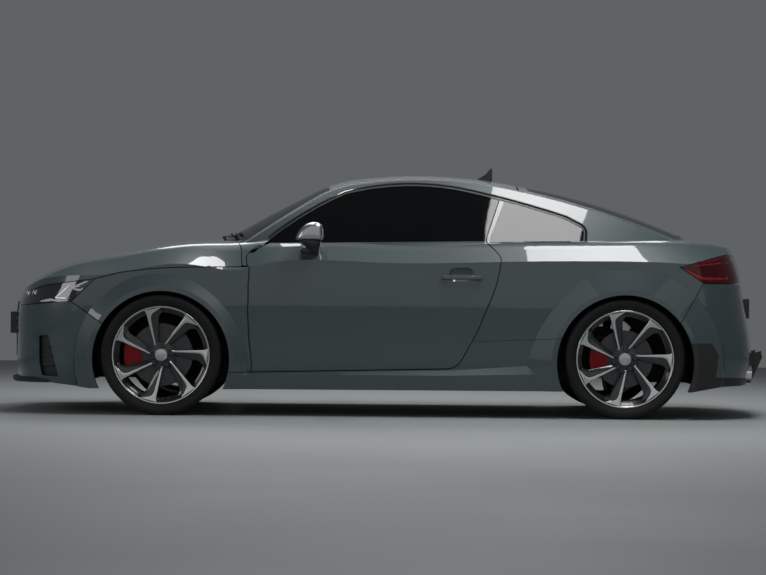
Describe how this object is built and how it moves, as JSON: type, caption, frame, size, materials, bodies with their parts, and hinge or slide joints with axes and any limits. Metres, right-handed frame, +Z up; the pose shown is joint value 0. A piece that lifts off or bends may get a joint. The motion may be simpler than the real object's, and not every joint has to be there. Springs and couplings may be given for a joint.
{
  "type": "coupe car",
  "caption": "Low two-door fastback sports coupe with a clamshell hood, flared wheel arches, frameless doors and a glazed lifting hatch, standing on wide seven-spoke wheels.",
  "frame": {"origin": "on the ground plane, midway along the car's length and on its centre line", "axes": "+X towards the rear, +Y towards the car's own right side, +Z up; seen from azimuth 0 the left side faces the camera with the front at the left"},
  "size_m": [4.2065, 1.97, 1.3859],
  "materials": {
    "body_paint": "gloss blue-green grey",
    "clear_glass": "green tinted",
    "dark_glass": "dark tinted",
    "black_trim": "satin black",
    "lamp_clear": "clear lens over a dark housing",
    "lamp_red": "dark red lens",
    "tyre_rubber": "matt",
    "wheel_alloy": "machined faces over dark grey",
    "disc_iron": "turned",
    "caliper_paint": "gloss red",
    "chassis_metal": "matt black",
    "floor_metal": "matt black",
    "seat_leather": "black",
    "cabin_plastic": "matt black",
    "mirror_cap": "satin",
    "exhaust_chrome": "polished"
  },
  "bodies": {
    "body": {"antenna": "black_trim", "arch_liners": "black_trim", "body_hinges": "black_trim", "corner_intakes": "black_trim", "cowl_panel": "black_trim", "dashboard": "cabin_plastic", "engine_block": "chassis_metal", "exhaust_tips": "exhaust_chrome", "floor_pan": "floor_metal", "front_bumper": "body_paint", "front_fenders": "body_paint", "front_lip": "black_trim", "front_seats": "seat_leather", "front_subframe": "chassis_metal", "grille": "black_trim", "headlamps": "lamp_clear", "number_plates": "black_trim", "quarter_glass": "dark_glass", "quarter_panels": "body_paint", "rear_axle_beam": "chassis_metal", "rear_bumper": "body_paint", "rear_calipers": "caliper_paint", "rear_diffuser": "black_trim", "rear_knuckles": "chassis_metal", "rear_seat": "seat_leather", "roof_panel": "body_paint", "roof_rails": "body_paint", "side_sills": "body_paint", "steering_wheel": "cabin_plastic", "tail_lamps": "lamp_red", "window_posts": "black_trim", "windscreen": "clear_glass"},
    "door_left": {"door_left": "body_paint", "door_glass_left": "dark_glass", "mirror_left": "mirror_cap", "door_handle_left": "body_paint"},
    "door_right": {"door_right": "body_paint", "door_glass_right": "dark_glass", "mirror_right": "mirror_cap", "door_handle_right": "body_paint"},
    "hood": {"hood": "body_paint"},
    "hatch": {"hatch": "body_paint", "rear_glass": "clear_glass"},
    "knuckle_left": {"front_knuckle_left": "chassis_metal", "front_caliper_left": "caliper_paint"},
    "knuckle_right": {"front_knuckle_right": "chassis_metal", "front_caliper_right": "caliper_paint"},
    "wheel_front_left": {"front_tyre_left": "tyre_rubber", "front_rim_left": "wheel_alloy", "front_disc_left": "disc_iron"},
    "wheel_front_right": {"front_tyre_right": "tyre_rubber", "front_rim_right": "wheel_alloy", "front_disc_right": "disc_iron"},
    "wheel_rear_left": {"rear_tyre_left": "tyre_rubber", "rear_rim_left": "wheel_alloy", "rear_disc_left": "disc_iron"},
    "wheel_rear_right": {"rear_tyre_right": "tyre_rubber", "rear_rim_right": "wheel_alloy", "rear_disc_right": "disc_iron"}
  },
  "joints": [
    {"name": "door_left_swing", "type": "hinge", "parent": "body", "child": "door_left", "pos_m": [-0.7, -0.822, 0.53], "axis": [0, 0, -1], "range_deg": [0, 62]},
    {"name": "door_right_swing", "type": "hinge", "parent": "body", "child": "door_right", "pos_m": [-0.7, 0.822, 0.53], "axis": [0, 0, 1], "range_deg": [0, 62]},
    {"name": "hood_swing", "type": "hinge", "parent": "body", "child": "hood", "pos_m": [-0.72, 0, 0.888], "axis": [0, 1, 0], "range_deg": [0, 50]},
    {"name": "hatch_swing", "type": "hinge", "parent": "body", "child": "hatch", "pos_m": [0.668, 0, 1.24], "axis": [0, -1, 0], "range_deg": [0, 70]},
    {"name": "steer_left", "type": "hinge", "parent": "body", "child": "knuckle_left", "pos_m": [-1.2155, -0.786, 0.325], "axis": [0, 0, 1], "range_deg": [-35, 35]},
    {"name": "steer_right", "type": "hinge", "parent": "body", "child": "knuckle_right", "pos_m": [-1.2155, 0.786, 0.325], "axis": [0, 0, 1], "range_deg": [-35, 35]},
    {"name": "wheel_front_left_spin", "type": "hinge", "parent": "knuckle_left", "child": "wheel_front_left", "pos_m": [-1.2155, -0.786, 0.325], "axis": [0, -1, 0], "continuous": true},
    {"name": "wheel_front_right_spin", "type": "hinge", "parent": "knuckle_right", "child": "wheel_front_right", "pos_m": [-1.2155, 0.786, 0.325], "axis": [0, -1, 0], "continuous": true},
    {"name": "wheel_rear_left_spin", "type": "hinge", "parent": "body", "child": "wheel_rear_left", "pos_m": [1.2895, -0.776, 0.325], "axis": [0, -1, 0], "continuous": true},
    {"name": "wheel_rear_right_spin", "type": "hinge", "parent": "body", "child": "wheel_rear_right", "pos_m": [1.2895, 0.776, 0.325], "axis": [0, -1, 0], "continuous": true}
  ],
  "couplings": [
    {"joint": "steer_right", "follows": "steer_left", "ratio": 1}
  ]
}
